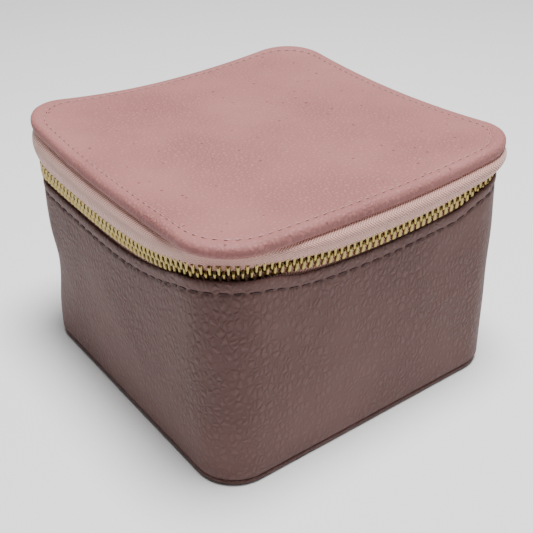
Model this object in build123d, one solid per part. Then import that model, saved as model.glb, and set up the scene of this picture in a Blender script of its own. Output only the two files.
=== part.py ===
from build123d import *
import math
import os

# A square zip-around jewellery case in soft leather. The body is a stiff-walled box with a lower
# compartment and a lift-out ring tray. The lid is a padded panel with a mirror inside, and it is
# hinged on a leather strip along the back. A metal zip closes the other three sides.
# Millimetres, +Z up, origin at the centre of the base's underside. The front faces -Y, the hinge
# is at +Y, and the parked zip slider is on the right side, at +X.

# ---- Driving sizes ------------------------------------------------------------------------------
# Case as a whole
body_width = 125.0
body_corner_radius = 17.0
rim_height = 70.0           # top edge of the body wall above the table
lid_gap = 14.2              # from the body's rim up to the lid's lower edge, closed
lid_overhang = 1.0          # lid edge beyond the body wall, each side

# Leathers, boards and cloths
leather_thickness = 1.0
wall_board_thickness = 1.6
lining_thickness = 0.8
tape_thickness = 0.6
tape_hem = 4.0              # how far the tape is sewn in below the rim
sewn_gap = 0.1              # room beside a tape where it is sewn in

# Base and floor
base_inset = 0.3            # base panel inside the wall's outer face
base_leather = 0.7
base_board_thickness = 1.7
floor_thickness = 1.6
loose_fit = 0.1             # room round a board that drops in

# Lid
lid_board_thickness = 1.5
lid_foam_thickness = 0.9
rolled_edge_radius = 1.4
mirror_width = 96.0
mirror_thickness = 1.3
mirror_corner_radius = 8.0
mirror_frame_border = 7.0
mirror_frame_lip = 1.0      # how far the frame covers the glass
mirror_lip_thickness = 0.6

# Back hinge
hinge_width = 84.0

# Zip chain
chain_above_rim = 4.2       # chain's centre line above the body's rim
tape_edge_gap = 1.6         # between the two tape edges, where the teeth mesh
tooth_pitch = 2.54
tooth_side_room = 0.17      # between a tooth and its neighbours in the other row
tooth_depth = 2.6           # through the tape
tooth_leg = 2.0             # how far a tooth's two legs grip the tape
tooth_slot_room = 0.05
first_tooth_angle = 34.0    # where the chain starts on the rear left corner, from the back

# Zip slider and its pull
slider_length = 11.0
slider_height = 8.2
slider_plate = 1.0
slider_tooth_room = 0.4     # between a tooth and a plate
slider_lip = 1.0
slider_lip_room = 0.5       # between a lip and the tape
slider_post_length = 2.6
slider_corner_radius = 2.2
slider_rear_space = 2.0     # slider's rear end to the end of the straight side
slider_to_teeth = 1.2
bail_length = 6.0
bail_width = 1.6
bail_hole_height = 1.9
bail_bar = 1.0
pull_length = 26.0
pull_width = 6.4
pull_thickness = 1.2
pull_bar = 1.2              # cross bar that turns in the bail
pull_window_length = 3.4
pull_window_width = 3.6
pull_slot_length = 9.0
pull_slot_width = 2.4
stop_length = 1.4
stop_height = 2.1
stop_depth = 2.8
stop_space = 0.5            # between the slider and the top stops

# Tray
tray_height = 24.0
tray_below_rim = 1.0
tray_play = 1.0             # round the tray, each side, clear of the slider behind the wall
tray_wall = 1.6
tray_divider_drop = 1.0     # dividers' top edges below the tray's rim
tray_divider_thickness = 1.6
ring_section_width = 46.0
ring_roll_count = 6
ring_roll_height = 17.0
ring_roll_space = 0.4       # between neighbouring rolls
tray_cross_position = 6.0   # cross divider from the centre, towards the back
ribbon_width = 12.0
ribbon_thickness = 0.8
ribbon_stand = 5.0          # ribbon loop above the tray's rim
ribbon_sewn = 14.0          # ribbon below the tray's rim

# Lower compartment
ledge_thickness = 2.4
lower_divider_thickness = 2.0
lower_divider_height = 34.0
lower_cross_position = -18.0
divider_slot_room = 0.05

# ---- Faces and levels that follow ---------------------------------------------------------------
corner_centre = body_width / 2 - body_corner_radius
wall_outer = body_width / 2
cover_inner = wall_outer - leather_thickness
board_inner = cover_inner - wall_board_thickness
lining_inner = board_inner - lining_thickness
tape_outer = cover_inner
tape_inner = tape_outer - tape_thickness
tape_middle = (tape_outer + tape_inner) / 2
lid_outer = wall_outer + lid_overhang
lid_edge_inner = lid_outer - leather_thickness

base_top = base_leather + base_board_thickness
floor_top = base_top + floor_thickness
tape_low = rim_height - tape_hem
chain_height = rim_height + chain_above_rim
body_tape_top = chain_height - tape_edge_gap / 2
tooth_width = tooth_pitch / 2 - tooth_side_room
lid_tape_low = chain_height + tape_edge_gap / 2
lid_low = rim_height + lid_gap
lid_lining_top = lid_low + lining_thickness
lid_board_top = lid_lining_top + lid_board_thickness
lid_foam_top = lid_board_top + lid_foam_thickness
lid_top = lid_foam_top + leather_thickness

tray_top = rim_height - tray_below_rim
tray_low = tray_top - tray_height
tray_outer = lining_inner - tray_play
tray_inner = tray_outer - tray_wall
tray_floor_top = tray_low + tray_wall + lining_thickness
ledge_outer = lining_inner - loose_fit
ledge_inner = ledge_outer - ledge_thickness

slider_rear = corner_centre - slider_rear_space
slider_middle = slider_rear - slider_length / 2
slider_front = slider_rear - slider_length
plate_inner_gap = tooth_depth / 2 + slider_tooth_room
bail_foot = tape_middle + plate_inner_gap + slider_plate
pull_axis_x = bail_foot + bail_hole_height / 2


# ---- Shapes used by several pieces --------------------------------------------------------------
def slab(half, low, high):
    """A square plate with rounded corners that share the case's corner centres."""
    outline = RectangleRounded(2 * half, 2 * half, half - corner_centre)
    return Pos(0, 0, low) * extrude(outline, high - low)


def band(outer, inner, low, high):
    """A square wall with rounded corners, all the way round."""
    return slab(outer, low, high) - slab(inner, low, high)


def upright(flat_shape):
    """Stands a shape drawn flat on edge: its width along Y, its height along Z, its depth along X."""
    return Rot(0, 0, 90) * Rot(90, 0, 0) * flat_shape


def block(low_corner, high_corner):
    """A plain box between two corners."""
    size = [high - low for low, high in zip(low_corner, high_corner)]
    middle = [(high + low) / 2 for low, high in zip(low_corner, high_corner)]
    return Pos(*middle) * Box(*size)


def chain_place(distance):
    """The place on the zip's centre line, from the back left, round the left, front and right."""
    radius = tape_middle - corner_centre
    arc = radius * math.pi / 2
    quarter = arc + 2 * corner_centre
    corner, rest = divmod(distance, quarter)
    if rest < arc:
        turn = rest / radius
        x = -corner_centre - radius * math.sin(turn)
        y = corner_centre + radius * math.cos(turn)
    else:
        turn = math.pi / 2
        x = -tape_middle
        y = corner_centre - (rest - arc)
    return Rot(0, 0, 90 * corner) * Pos(x, y, chain_height) * Rot(0, 0, math.degrees(turn))


def clip(length, depth, head, leg, room):
    """A metal piece that straddles a tape's edge, with its head up and its legs down the tape."""
    edge = -tape_edge_gap / 2
    whole = block((-length / 2, -depth / 2, edge - leg), (length / 2, depth / 2, head))
    slot = tape_thickness / 2 + room
    return whole - block((-length, -slot, edge - leg - room), (length, slot, edge + room))


# ---- Base and walls -----------------------------------------------------------------------------
def make_base():
    cover = slab(wall_outer - base_inset, 0, base_top)
    board = slab(cover_inner, base_leather, base_top)
    return {"base_cover": cover - board, "base_board": board}


def make_walls():
    hem_outer = tape_inner - sewn_gap
    lining = band(board_inner, lining_inner, base_top, tape_low)
    hem = band(hem_outer, lining_inner, tape_low, rim_height)
    return {
        "wall_cover": band(wall_outer, cover_inner, base_top, rim_height),
        "wall_board": band(cover_inner, board_inner, base_top, tape_low),
        "wall_lining": lining + hem,
        "floor_lining": slab(lining_inner - loose_fit, base_top, floor_top),
        "tray_ledge": band(ledge_outer, ledge_inner, floor_top, tray_low),
    }


def make_lower_dividers():
    """Two crossing boards, each slotted to half its height where it passes the other."""
    reach = ledge_inner - loose_fit
    half = lower_divider_thickness / 2
    top = floor_top + lower_divider_height
    middle = floor_top + lower_divider_height / 2
    slot = half + divider_slot_room
    place = lower_cross_position
    long_board = block((-reach, -half, floor_top), (reach, half, top))
    cross_board = block((place - half, -reach, floor_top), (place + half, reach, top))
    long_slot = block((place - slot, -half, middle), (place + slot, half, top))
    cross_slot = block((place - half, -slot, floor_top), (place + half, slot, middle))
    return {
        "lower_divider_long": long_board - long_slot,
        "lower_divider_cross": cross_board - cross_slot,
    }


# ---- Zip tapes, teeth and stops -----------------------------------------------------------------
def make_tapes():
    """Both tapes run round the case and stop at the edges of the back hinge strip."""
    back = block((-hinge_width / 2, 0, 0), (hinge_width / 2, body_width, lid_top))
    strip_low = (-hinge_width / 2, tape_inner, tape_low)
    strip_high = (hinge_width / 2, tape_outer, lid_lining_top)
    return {
        "body_zip_tape": band(tape_outer, tape_inner, tape_low, body_tape_top) - back,
        "lid_zip_tape": band(tape_outer, tape_inner, lid_tape_low, lid_lining_top) - back,
        "hinge_strip": block(strip_low, strip_high),
    }


def make_teeth():
    """Two rows of teeth, the lid's half a pitch along from the body's and upside down."""
    radius = tape_middle - corner_centre
    start = radius * math.radians(first_tooth_angle)
    side_start = 3 * radius * math.pi / 2 + 4 * corner_centre
    end = side_start + corner_centre + slider_front - slider_to_teeth
    count = int((end - start) / tooth_pitch)
    tooth = clip(tooth_width, tooth_depth, tape_edge_gap / 2, tooth_leg, tooth_slot_room)
    turned_tooth = Rot(180, 0, 0) * tooth
    body_row = []
    lid_row = []
    for number in range(count):
        distance = start + number * tooth_pitch
        body_row.append(chain_place(distance) * tooth)
        lid_row.append(chain_place(distance + tooth_pitch / 2) * turned_tooth)
    return {"body_zip_teeth": Compound(body_row), "lid_zip_teeth": Compound(lid_row)}


def make_stops():
    """A stop on each tape past the parked slider, and one at the chain's rear left end."""
    stop = clip(stop_length, stop_depth, 0, stop_height, tooth_slot_room)
    head_gap = tape_edge_gap / 4
    top_stop = stop - block((-stop_length, -stop_depth, -head_gap), (stop_length, stop_depth, 1))
    turned_stop = Rot(180, 0, 0) * top_stop
    beside = Pos(tape_middle, slider_rear + stop_space + stop_length / 2, chain_height)
    radius = tape_middle - corner_centre
    bottom_place = radius * math.radians(first_tooth_angle) - stop_length - tooth_width
    return {
        "body_top_stop": beside * Rot(0, 0, 90) * top_stop,
        "lid_top_stop": beside * Rot(0, 0, 90) * turned_stop,
        "zip_bottom_stop": chain_place(bottom_place) * top_stop,
    }


# ---- Zip slider and pull ------------------------------------------------------------------------
def make_slider():
    """Two plates joined by a post, with lips over the teeth and a bail on the outer plate.
    Local X points out of the case, local Y along the chain and local Z up."""
    half_height = slider_height / 2
    outline = RectangleRounded(slider_length, slider_height, slider_corner_radius)
    plate = upright(extrude(outline, slider_plate))
    outer = Pos(plate_inner_gap, 0, 0) * plate
    inner = Pos(-plate_inner_gap - slider_plate, 0, 0) * plate
    lip_reach = tape_thickness / 2 + slider_lip_room
    lip_length = slider_length - 2 * slider_corner_radius
    lips = []
    for side in (-1, 1):
        for level in (-1, 1):
            x_low, x_high = sorted((side * lip_reach, side * plate_inner_gap))
            z_low, z_high = sorted((level * half_height, level * (half_height - slider_lip)))
            low = (x_low, -lip_length / 2, z_low)
            lips.append(block(low, (x_high, lip_length / 2, z_high)))
    post_half = tape_edge_gap / 2 - sewn_gap
    post_rear = slider_length / 2
    post_low = (-plate_inner_gap, post_rear - slider_post_length, -post_half)
    post = block(post_low, (plate_inner_gap, post_rear, post_half))
    foot = plate_inner_gap + slider_plate
    top = foot + bail_hole_height + bail_bar
    bail_low = (foot, -bail_length / 2, -bail_width / 2)
    bail = block(bail_low, (top, bail_length / 2, bail_width / 2))
    bail = fillet(bail.edges().filter_by(Axis.Z).group_by(Axis.X)[-1], bail_bar)
    hole_low = (foot, bail_bar - bail_length / 2, -bail_width)
    bail -= block(hole_low, (foot + bail_hole_height, bail_length / 2 - bail_bar, bail_width))
    slider = outer + inner + post + bail
    for lip in lips:
        slider += lip
    return {"zip_slider": Pos(tape_middle, slider_middle, chain_height) * slider}


def make_pull():
    """A flat metal tab. Its round cross bar turns in the bail, and its window clears the bail."""
    half = pull_width / 2
    neck = pull_bar / 2 + pull_window_length
    outline = Pos(0, -pull_length / 2) * RectangleRounded(pull_width, pull_length, half * 0.9)
    outline += Pos(0, -neck / 2) * Rectangle(pull_width, neck)
    window = Pos(0, -neck / 2) * Rectangle(pull_window_width, neck)
    slot_place = -pull_length + half + pull_slot_length / 2
    slot = Pos(0, slot_place) * Rot(0, 0, 90) * SlotOverall(pull_slot_length, pull_slot_width)
    tab = extrude(outline - window - slot, pull_thickness / 2, both=True)
    tab += Rot(0, 90, 0) * Cylinder(pull_bar / 2, pull_width)
    turned = Rot(0, 90, 0) * tab
    return {"zip_pull": Pos(pull_axis_x, slider_middle, chain_height) * turned}


# ---- Lid ----------------------------------------------------------------------------------------
def make_lid():
    hem_inner = tape_outer + sewn_gap
    skin = slab(lid_outer, lid_low, lid_top)
    rims = skin.faces().filter_by(Axis.Z).edges()
    skin = fillet(rims, rolled_edge_radius)
    skin -= slab(lid_edge_inner, lid_lining_top, lid_foam_top)
    skin -= slab(hem_inner, lid_low, lid_lining_top)
    panel = lid_edge_inner - loose_fit
    return {
        "lid_cover": skin,
        "lid_foam": slab(panel, lid_board_top, lid_foam_top),
        "lid_board": slab(panel, lid_lining_top, lid_board_top),
        "lid_lining": slab(tape_inner - sewn_gap, lid_low, lid_lining_top),
    }


def make_mirror():
    """The glass lies against the lid's lining, and a leather frame laps over its edges."""
    frame_low = lid_low - mirror_thickness - mirror_lip_thickness
    opening = mirror_width - 2 * mirror_frame_lip
    frame_width = opening + 2 * mirror_frame_border
    frame_radius = mirror_corner_radius + mirror_frame_border - mirror_frame_lip
    glass_outline = RectangleRounded(mirror_width, mirror_width, mirror_corner_radius)
    glass = Pos(0, 0, lid_low - mirror_thickness) * extrude(glass_outline, mirror_thickness)
    frame_outline = RectangleRounded(frame_width, frame_width, frame_radius)
    frame = Pos(0, 0, frame_low) * extrude(frame_outline, lid_low - frame_low)
    open_radius = mirror_corner_radius - mirror_frame_lip
    opening_outline = RectangleRounded(opening, opening, open_radius)
    frame -= Pos(0, 0, frame_low) * extrude(opening_outline, mirror_lip_thickness)
    return {"lid_mirror": glass, "mirror_frame": frame - glass}


# ---- Tray ---------------------------------------------------------------------------------------
def make_tray():
    shell = slab(tray_outer, tray_low, tray_top)
    shell -= slab(tray_inner, tray_low + tray_wall, tray_top)
    floor = slab(tray_inner - loose_fit, tray_low + tray_wall, tray_floor_top)
    divider_top = tray_top - tray_divider_drop
    reach = tray_inner - loose_fit
    long_x = ring_section_width - tray_inner
    cross_x = long_x + tray_divider_thickness
    cross_low = tray_cross_position - tray_divider_thickness / 2
    cross_high = tray_cross_position + tray_divider_thickness / 2
    pieces = {
        "tray_shell": shell,
        "tray_floor_lining": floor,
        "tray_divider_long": block(
            (long_x, -reach, tray_floor_top), (cross_x, reach, divider_top)
        ),
        "tray_divider_cross": block(
            (cross_x, cross_low, tray_floor_top), (reach, cross_high, divider_top)
        ),
    }
    for name, side in (("tray_ribbon_front", -1), ("tray_ribbon_back", 1)):
        y_low, y_high = sorted((side * tray_inner, side * (tray_inner - ribbon_thickness)))
        x = (cross_x + tray_inner) / 2
        low = (x - ribbon_width / 2, y_low, tray_top - ribbon_sewn)
        high = (x + ribbon_width / 2, y_high, tray_top + ribbon_stand)
        pieces[name] = block(low, high)
    return pieces


def make_ring_rolls():
    """Foam rolls with flat bottoms and round tops, trimmed to the tray's rounded corners."""
    room = slab(tray_inner - ring_roll_space, tray_floor_top, tray_top)
    pitch = 2 * tray_inner / ring_roll_count
    width = pitch - ring_roll_space
    shoulder = ring_roll_height - width / 2
    length = ring_section_width - 2 * ring_roll_space
    rolls = {}
    for number in range(ring_roll_count):
        y = -tray_inner + (number + 0.5) * pitch
        section = Pos(0, shoulder / 2) * Rectangle(width, shoulder)
        section += Pos(0, shoulder) * Circle(width / 2)
        bar = upright(extrude(section, length))
        placed = Pos(ring_roll_space - tray_inner, y, tray_floor_top) * bar
        rolls[f"ring_roll_{number + 1}"] = placed & room
    return rolls


# ---- Every piece, one file each -----------------------------------------------------------------
pieces = {}
for make in (
    make_base,
    make_walls,
    make_lower_dividers,
    make_tapes,
    make_teeth,
    make_stops,
    make_slider,
    make_pull,
    make_lid,
    make_mirror,
    make_tray,
    make_ring_rolls,
):
    pieces.update(make())

os.makedirs("parts", exist_ok=True)
for node, shape in pieces.items():
    export_step(shape, f"parts/{node}.step")
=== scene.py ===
import math

import bmesh
import bpy
import numpy as np
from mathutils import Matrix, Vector


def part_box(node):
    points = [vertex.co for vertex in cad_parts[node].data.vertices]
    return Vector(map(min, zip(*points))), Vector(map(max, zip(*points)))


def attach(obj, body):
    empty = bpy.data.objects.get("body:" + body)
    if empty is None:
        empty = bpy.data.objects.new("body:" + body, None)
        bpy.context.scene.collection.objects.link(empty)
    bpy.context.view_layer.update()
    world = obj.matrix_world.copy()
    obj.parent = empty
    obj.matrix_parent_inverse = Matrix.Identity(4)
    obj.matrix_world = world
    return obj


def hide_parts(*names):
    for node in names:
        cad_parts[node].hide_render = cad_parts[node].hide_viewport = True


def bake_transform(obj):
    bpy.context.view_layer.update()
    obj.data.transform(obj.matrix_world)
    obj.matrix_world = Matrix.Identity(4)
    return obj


# A square zip-around jewellery case in dusty pink tumbled leather, with a pale gold metal zip, a
# lift-out ring tray and a mirror in the lid.
# Metres, +Z up, front at -Y, hinge at +Y, parked zip slider at +X.
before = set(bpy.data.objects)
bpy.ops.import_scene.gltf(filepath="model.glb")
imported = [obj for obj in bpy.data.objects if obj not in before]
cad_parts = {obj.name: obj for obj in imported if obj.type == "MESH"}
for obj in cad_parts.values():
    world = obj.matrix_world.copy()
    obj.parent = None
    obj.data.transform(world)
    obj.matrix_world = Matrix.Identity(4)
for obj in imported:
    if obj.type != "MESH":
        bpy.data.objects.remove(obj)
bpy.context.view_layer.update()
link = bpy.context.collection.objects.link

# ---- Studio -------------------------------------------------------------------------------------
# A plain, nearly white table top under a broad soft light, with a weak fill from the right.
# None of it is part of the case.
table_half = 3.0
table_mesh = bpy.data.meshes.new("table_top")
corners = [(x * table_half, y * table_half, 0) for x, y in ((-1, -1), (1, -1), (1, 1), (-1, 1))]
table_mesh.from_pydata(corners, [], [(0, 1, 2, 3)])
table_top = bpy.data.objects.new("table_top", table_mesh)
table_white = bpy.data.materials.new("table_white")
table_white.use_nodes = True
table_shader = table_white.node_tree.nodes["Principled BSDF"]
table_shader.inputs["Base Color"].default_value = (0.84, 0.84, 0.84, 1)
table_shader.inputs["Roughness"].default_value = 0.9
table_mesh.materials.append(table_white)
link(table_top)


def soft_light(name, place, aim, width, watts):
    lamp = bpy.data.lights.new(name, "AREA")
    lamp.shape = "DISK"
    lamp.size = width
    lamp.energy = watts
    light = bpy.data.objects.new(name, lamp)
    light.location = place
    light.rotation_euler = (Vector(aim) - Vector(place)).to_track_quat("-Z", "Y").to_euler()
    link(light)


soft_light("overhead_softbox", (0.04, -0.07, 0.98), (0, 0, 0.06), 0.4, 21.5)
soft_light("front_fill", (0.75, -0.75, 0.40), (0, 0, 0.05), 0.5, 1.0)

world = bpy.data.worlds.new("studio_air")
world.use_nodes = True
air = world.node_tree.nodes["Background"]
air.inputs["Color"].default_value = (1, 1, 1, 1)
air.inputs["Strength"].default_value = 0.16
bpy.context.scene.world = world

camera_data = bpy.data.cameras.new("camera")
camera = bpy.data.objects.new("camera", camera_data)
camera_data.sensor_width = 36.0
camera_data.lens = 61.75
camera_data.clip_start = 0.01
camera.location = (-0.1729, -0.2370, 0.2165)
camera_aim = Vector((0.0277, 0.0362, 0.0041))
camera_tilt = math.radians(-0.67)
camera.rotation_euler = (camera_aim - camera.location).to_track_quat("-Z", "Y").to_euler()
camera.rotation_euler.rotate_axis("Z", camera_tilt)
link(camera)
bpy.context.scene.camera = camera


# ---- Base panel ---------------------------------------------------------------------------------
# A stiff grey board wrapped in leather, glued under the walls. Only its rounded edge shows, with a
# thin shadow line between it and the wall.
wall_low, wall_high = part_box("wall_cover")
base_low, base_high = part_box("base_cover")
wall_half = wall_high.x
corner_centre = 0.0455      # from the middle to the centre of each rounded corner
corner_radius = 0.0157
corner_arc = corner_radius * math.pi / 2
quarter_length = 2 * corner_centre + corner_arc


def outline(places, out, centre=corner_centre):
    """Points round the case, `out` from its middle. Places count quarter turns from the middle of
    the back: 1 is the middle of the left side, 2 of the front and 3 of the right side."""
    places = np.asarray(places, float)
    out = np.broadcast_to(np.asarray(out, float), places.shape)
    centre = np.broadcast_to(np.asarray(centre, float), places.shape)
    turns = np.floor(places)
    length = (places - turns) * quarter_length
    bend = np.clip((length - corner_centre) / corner_arc, 0, 1) * math.pi / 2
    back = np.clip(length / corner_centre, 0, 1) * centre
    left = np.clip((length - corner_centre - corner_arc) / corner_centre, 0, 1) * centre
    x = -back - np.sin(bend) * (out - centre)
    y = centre - left + np.cos(bend) * (out - centre)
    angle = turns * math.pi / 2
    return x * np.cos(angle) - y * np.sin(angle), x * np.sin(angle) + y * np.cos(angle)


def ring(places, out, height, centre=corner_centre):
    """One row of points round the case, at a height."""
    x, y = outline(places, out, centre)
    return np.stack([x, y, np.broadcast_to(np.asarray(height, float), x.shape)], axis=1)


def distances(points):
    """How far along a closed path each point lies, and at the end the whole length."""
    steps = np.linalg.norm(np.diff(np.vstack([points, points[:1]]), axis=0), axis=1)
    return np.concatenate([[0], np.cumsum(steps)])


def to_mesh(shape, mesh):
    """Writes a shape to a mesh, with its faces turned outwards."""
    bmesh.ops.recalc_face_normals(shape, faces=shape.faces)
    shape.to_mesh(mesh)
    shape.free()
    return mesh


def wrap_mesh(rows, closed_round=True, closed_profile=True):
    """A closed mesh from rows of points. Each row runs round the case, and the rows follow the
    profile. Its UV map is in metres: U along the rows and V across them."""
    rows = np.asarray(rows, float)
    row_count, column_count = rows.shape[:2]
    row_steps = row_count if closed_profile else row_count - 1
    column_steps = column_count if closed_round else column_count - 1
    row, column = np.meshgrid(np.arange(row_steps), np.arange(column_steps), indexing="ij")
    row, column = row.ravel(), column.ravel()
    ahead, above = (column + 1) % column_count, (row + 1) % row_count
    faces = np.stack(
        [row * column_count + column, row * column_count + ahead,
         above * column_count + ahead, above * column_count + column], axis=1
    )
    mesh = bpy.data.meshes.new("wrapped")
    mesh.from_pydata(rows.reshape(-1, 3).tolist(), [], faces.tolist())
    along, across = distances(rows[row_count // 3]), distances(rows[:, 0])
    u = np.stack([along[column], along[column + 1], along[column + 1], along[column]], axis=1)
    v = np.stack([across[row], across[row], across[row + 1], across[row + 1]], axis=1)
    lay = mesh.uv_layers.new(name="lay")
    lay.data.foreach_set("uv", np.stack([u, v], axis=2).ravel())
    shape = bmesh.new()
    shape.from_mesh(mesh)
    bmesh.ops.holes_fill(shape, edges=[edge for edge in shape.edges if edge.is_boundary])
    return to_mesh(shape, mesh)


def piece(name, mesh, finish, body, slot, *nodes):
    """Makes a finished mesh a piece of the case: it rides on a body and stands for its CAD nodes.
    A piece that bends across a joint names no body here."""
    mesh.name = name
    mesh.materials.clear()
    mesh.materials.append(finish)
    mesh.polygons.foreach_set("use_smooth", [True] * len(mesh.polygons))
    made = bpy.data.objects.new(name, mesh)
    link(made)
    if body:
        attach(made, body)
    if nodes:
        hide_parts(*nodes)
    return made


def finish_node(node, finish):
    """Gives a CAD node whose shape is right its finish."""
    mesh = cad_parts[node].data
    mesh.materials.clear()
    mesh.materials.append(finish)


def add_node(tree, kind, **settings):
    """Adds a node with its settings, and its sockets' values or links by their names. Gives its
    outputs."""
    node = tree.nodes.new(kind)
    sockets = settings.pop("sockets", {})
    for key, value in settings.items():
        setattr(node, key, value)
    for key, value in sockets.items():
        if isinstance(value, bpy.types.NodeSocket):
            tree.links.new(value, node.inputs[key])
        else:
            node.inputs[key].default_value = value
    return node.outputs


def new_finish(name, roughness):
    """A new material, its node tree and its shader."""
    material = bpy.data.materials.new(name)
    material.use_nodes = True
    tree = material.node_tree
    shader = tree.nodes["Principled BSDF"]
    shader.inputs["Roughness"].default_value = roughness
    return material, tree, shader


def object_place(tree):
    """Where a point lies in its object's own coordinates."""
    return add_node(tree, "ShaderNodeTexCoord")["Object"]


def calculate(tree, operation, *values, vectors=False):
    """One sum on numbers or sockets, or on vectors."""
    kind = "ShaderNodeVectorMath" if vectors else "ShaderNodeMath"
    outputs = add_node(tree, kind, operation=operation, sockets=dict(enumerate(values)))
    return outputs["Vector" if vectors else "Value"]


def noise(tree, place, scale, detail, **more):
    sockets = {"Vector": place, "Scale": scale, "Detail": detail, **more}
    return add_node(tree, "ShaderNodeTexNoise", sockets=sockets)


def stretch(tree, value, start=0.0, end=1.0, low=0.0, high=1.0, **settings):
    """Maps a value's span, from start to end, onto the span from low to high."""
    sockets = {"Value": value, "From Min": start, "From Max": end, "To Min": low, "To Max": high}
    return add_node(tree, "ShaderNodeMapRange", sockets=sockets, **settings)["Result"]


def toned(tree, colour, tone):
    """A colour made lighter or darker by a tone."""
    sockets = {0: colour, "Scale": tone}
    return add_node(tree, "ShaderNodeVectorMath", operation="SCALE", sockets=sockets)["Vector"]


def two_colours(tree, share, first, second):
    """A mix of two colours, by the second one's share."""
    sockets = {"Factor": share, "A": (*first, 1), "B": (*second, 1)}
    return add_node(tree, "ShaderNodeMix", data_type="RGBA", sockets=sockets)["Result"]


def dress(tree, shader, colour, height, depth):
    """Gives the shader its colour, and a bump of a depth from a height."""
    bump = add_node(tree, "ShaderNodeBump", sockets={"Height": height, "Distance": depth})
    tree.links.new(colour, shader.inputs["Base Color"])
    tree.links.new(bump["Normal"], shader.inputs["Normal"])


def leather_finish(name, colour, crease, cell, depth, crease_shade_strength, pitted):
    """Drum-tumbled cowhide: soft pebbles of about `cell` metres with creases between them, bolder in
    some places than in others, fine pores, slow changes of tone, and a few dark pits. The creases are
    drawn in the darker `crease` colour as painted shade."""
    material, tree, shader = new_finish(name, 0.55)
    shader.inputs["Specular IOR Level"].default_value = 0.18
    place = object_place(tree)
    drift = noise(tree, place, 0.6 / cell, 4.0)["Color"]
    drawn = calculate(tree, "MULTIPLY", place, (1.0, 1.0, 0.66), vectors=True)
    sway = calculate(tree, "MULTIPLY_ADD", drift, (cell * 1.1,) * 3, drawn, vectors=True)
    pebbles = add_node(
        tree, "ShaderNodeTexVoronoi", feature="DISTANCE_TO_EDGE",
        sockets={"Vector": sway, "Scale": 1 / cell},
    )["Distance"]
    dome = stretch(tree, pebbles, end=0.40, interpolation_type="SMOOTHSTEP")
    slow = noise(tree, place, 24.0, 3.0)["Fac"]
    boldness = stretch(tree, slow, 0.35, 0.62, 0.35, 1.0)
    grain = calculate(tree, "MULTIPLY", dome, boldness)
    pores = noise(tree, place, 4.5 / cell, 2.0)["Fac"]
    swell = noise(tree, place, 0.22 / cell, 1.0)["Fac"]
    rough = calculate(tree, "MULTIPLY_ADD", pores, 0.16, grain)
    height = calculate(tree, "MULTIPLY_ADD", swell, 1.6, rough)
    faint = calculate(tree, "MULTIPLY", boldness, -crease_shade_strength)
    painted_crease_shade = calculate(tree, "SUBTRACT", 1.0, dome)
    mixing = calculate(tree, "MULTIPLY_ADD", painted_crease_shade, faint, 1.0)
    specks = add_node(
        tree, "ShaderNodeTexVoronoi", sockets={"Vector": sway, "Scale": 0.42 / cell}
    )
    open_pit = stretch(tree, specks["Distance"], 0.05, 0.16, pitted, 0.0)
    chance = add_node(tree, "ShaderNodeSeparateColor", sockets={"Color": specks["Color"]})
    seldom = calculate(tree, "GREATER_THAN", chance["Red"], 0.66)
    pit = calculate(tree, "MULTIPLY", open_pit, seldom)
    # Painted shade: the hollows between the pebbles take the darker crease colour, by the crease
    # shade strength.
    shade = two_colours(tree, calculate(tree, "SUBTRACT", mixing, pit), crease, colour)
    tone = stretch(tree, slow, 0.3, 0.7, 1.03, 0.965)
    dress(tree, shader, toned(tree, shade, tone), height, depth)
    return material


# The walls' leather is the lid's hide in darker colours: painted shade for walls that stand side-on
# to the overhead light. The base panel and the hinge strip share it.
wall_leather_painted_shade = leather_finish(
    "wall_leather_painted_shade", (0.145, 0.076, 0.068), (0.072, 0.036, 0.032), 0.0020, 0.00036, 0.36, 0.0
)
panel_gap = 0.00025         # shadow line between the base panel and the wall
base_corner = corner_centre + 0.0015
column_places = np.linspace(0, 4, 1040, endpoint=False)
few_places = np.linspace(0, 4, 260, endpoint=False)
base_board_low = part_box("base_board")[0]
base_profile = [            # (how far in from the edge, height), from underneath round to the inside
    (0.0150, base_low.z), (0.0030, base_low.z), (0.0012, base_low.z), (0.0004, base_low.z + 0.0002),
    (0.0001, base_low.z + 0.0007), (0.0, base_low.z + 0.0012), (0.0002, base_high.z - 0.0005),
    (0.0007, base_high.z - panel_gap), (0.0020, base_high.z - panel_gap),
    (0.0007, base_high.z - panel_gap), (0.0007, base_board_low.z), (0.0150, base_board_low.z),
]
base_rows = [
    ring(few_places, base_high.x - inset, height, base_corner) for inset, height in base_profile
]
piece(
    "base_panel", wrap_mesh(base_rows, closed_profile=False), wall_leather_painted_shade,
    "case", "leather", "base_cover",
)


def board_finish(name, colour, grain):
    """Pressed grey board: flecks of fibre and a matt, slightly furry face."""
    material, tree, shader = new_finish(name, 0.9)
    fleck = noise(tree, object_place(tree), 1 / grain, 5.0)["Fac"]
    tone = stretch(tree, fleck, low=0.75, high=1.2)
    dress(tree, shader, toned(tree, colour, tone), fleck, grain * 0.1)
    return material


grey_board = board_finish("grey_board", (0.42, 0.40, 0.37), 0.0012)
finish_node("base_board", grey_board)

# ---- Walls --------------------------------------------------------------------------------------
# One band of pebbled leather glued over board, round all four sides, with its top edge turned and
# sewn. It is soft: the sides swell a little, the rear left corner is dented, and the rim stands
# higher at the two front corners.
rim_keys = [
    (0.00, 0.0697), (0.50, 0.0690), (0.70, 0.0678), (1.00, 0.0671), (1.16, 0.0686),
    (1.29, 0.0718), (1.40, 0.0757), (1.50, 0.0775), (1.60, 0.0765), (1.70, 0.0735),
    (1.80, 0.0720), (2.00, 0.0711), (2.20, 0.0720), (2.30, 0.0729), (2.40, 0.0767),
    (2.50, 0.0784), (2.62, 0.0757), (2.74, 0.0703), (3.00, 0.0696), (3.50, 0.0697),
]
leather_thickness = 0.0010
stitch_drop = 0.0041        # stitch line below the rim
rim_stitch_pitch = 0.0047
groove_depth = 0.00045


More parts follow.
